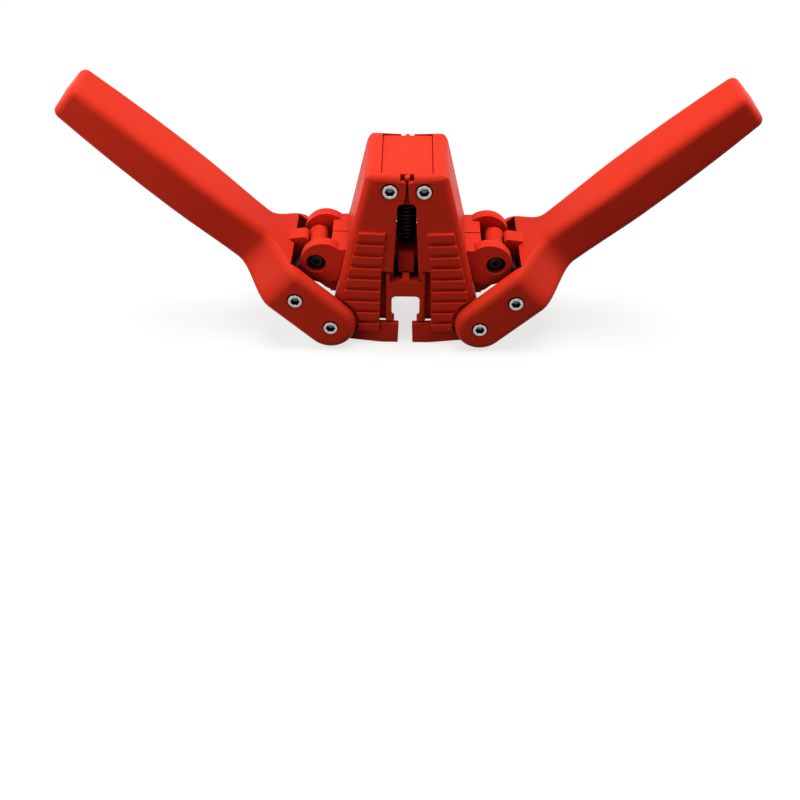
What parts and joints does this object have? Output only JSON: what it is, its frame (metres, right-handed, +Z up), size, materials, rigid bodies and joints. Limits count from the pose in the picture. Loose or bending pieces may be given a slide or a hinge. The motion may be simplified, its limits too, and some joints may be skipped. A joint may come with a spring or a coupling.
{
  "type": "bottle capper",
  "caption": "Hand-held crown bottle capper: ribbed tapered jaws on a centre frame grip the neck while two long raised levers pull a crimping bell down on the cap through short links.",
  "frame": {"origin": "on the standing surface, under the middle of the level pads of both jaw feet", "axes": "+X towards the right lever seen from the front, +Y from front to back, +Z up along the stroke of the bell"},
  "size_m": [0.346, 0.067, 0.1401],
  "materials": {
    "red_nylon": "moulded glass-filled nylon, satin",
    "plated_screw": "bright zinc plated steel",
    "tool_steel": "bright steel strip",
    "black_oxide": "turned steel with a black oxide skin",
    "black_spring": "blackened spring steel",
    "magnet": "sintered ferrite"
  },
  "bodies": {
    "frame": {"frame": "red_nylon", "left_hinge_screws": "plated_screw", "right_hinge_screws": "plated_screw", "return_spring": "black_spring"},
    "left_jaw": {"left_jaw": "red_nylon", "left_grip_plate": "tool_steel", "left_plate_screws": "plated_screw", "left_pivot_screws": "plated_screw"},
    "right_jaw": {"right_jaw": "red_nylon", "right_grip_plate": "tool_steel", "right_plate_screws": "plated_screw", "right_pivot_screws": "plated_screw"},
    "carriage": {"carriage": "red_nylon", "bell": "black_oxide", "cap_magnet": "magnet", "bell_screw": "black_oxide"},
    "left_lever": {"left_lever": "red_nylon"},
    "right_lever": {"right_lever": "red_nylon"},
    "left_link": {"left_link": "red_nylon", "left_link_pin": "black_oxide", "left_link_screws": "plated_screw"},
    "right_link": {"right_link": "red_nylon", "right_link_pin": "black_oxide", "right_link_screws": "plated_screw"}
  },
  "joints": [
    {"name": "left_jaw_close", "type": "hinge", "parent": "frame", "child": "left_jaw", "pos_m": [-0.0086, 0, 0.0937], "axis": [0, -1, 0], "range_deg": [0, 2]},
    {"name": "right_jaw_close", "type": "hinge", "parent": "frame", "child": "right_jaw", "pos_m": [0.0086, 0, 0.0937], "axis": [0, 1, 0], "range_deg": [0, 2]},
    {"name": "left_lever_swing", "type": "hinge", "parent": "left_jaw", "child": "left_lever", "pos_m": [-0.0405, 0, 0.0151], "axis": [0, -1, 0], "range_deg": [0, 38]},
    {"name": "right_lever_swing", "type": "hinge", "parent": "right_jaw", "child": "right_lever", "pos_m": [0.0405, 0, 0.0151], "axis": [0, 1, 0], "range_deg": [0, 38]},
    {"name": "left_link_turn", "type": "hinge", "parent": "left_lever", "child": "left_link", "pos_m": [-0.05881, 0, 0.03241], "axis": [0, 1, 0], "range_deg": [0, 63.5]},
    {"name": "right_link_turn", "type": "hinge", "parent": "right_lever", "child": "right_link", "pos_m": [0.05881, 0, 0.03241], "axis": [0, -1, 0], "range_deg": [0, 63.5]},
    {"name": "carriage_press", "type": "slide", "parent": "frame", "child": "carriage", "axis": [0, 0, -1], "range_m": [0, 0.0218], "stiffness_N_per_m": 300, "springref_m": -0.03, "deforming": ["return_spring"]}
  ],
  "couplings": [
    {"joint": "right_lever_swing", "follows": "left_lever_swing", "ratio": 1},
    {"joint": "left_jaw_close", "follows": "left_lever_swing", "ratio": 0.0526},
    {"joint": "right_jaw_close", "follows": "left_lever_swing", "ratio": 0.0526},
    {"joint": "left_link_turn", "follows": "left_lever_swing", "ratio": 1.664},
    {"joint": "right_link_turn", "follows": "left_lever_swing", "ratio": 1.664},
    {"joint": "carriage_press", "follows": "left_lever_swing", "m_per_rad": 0.03282}
  ]
}
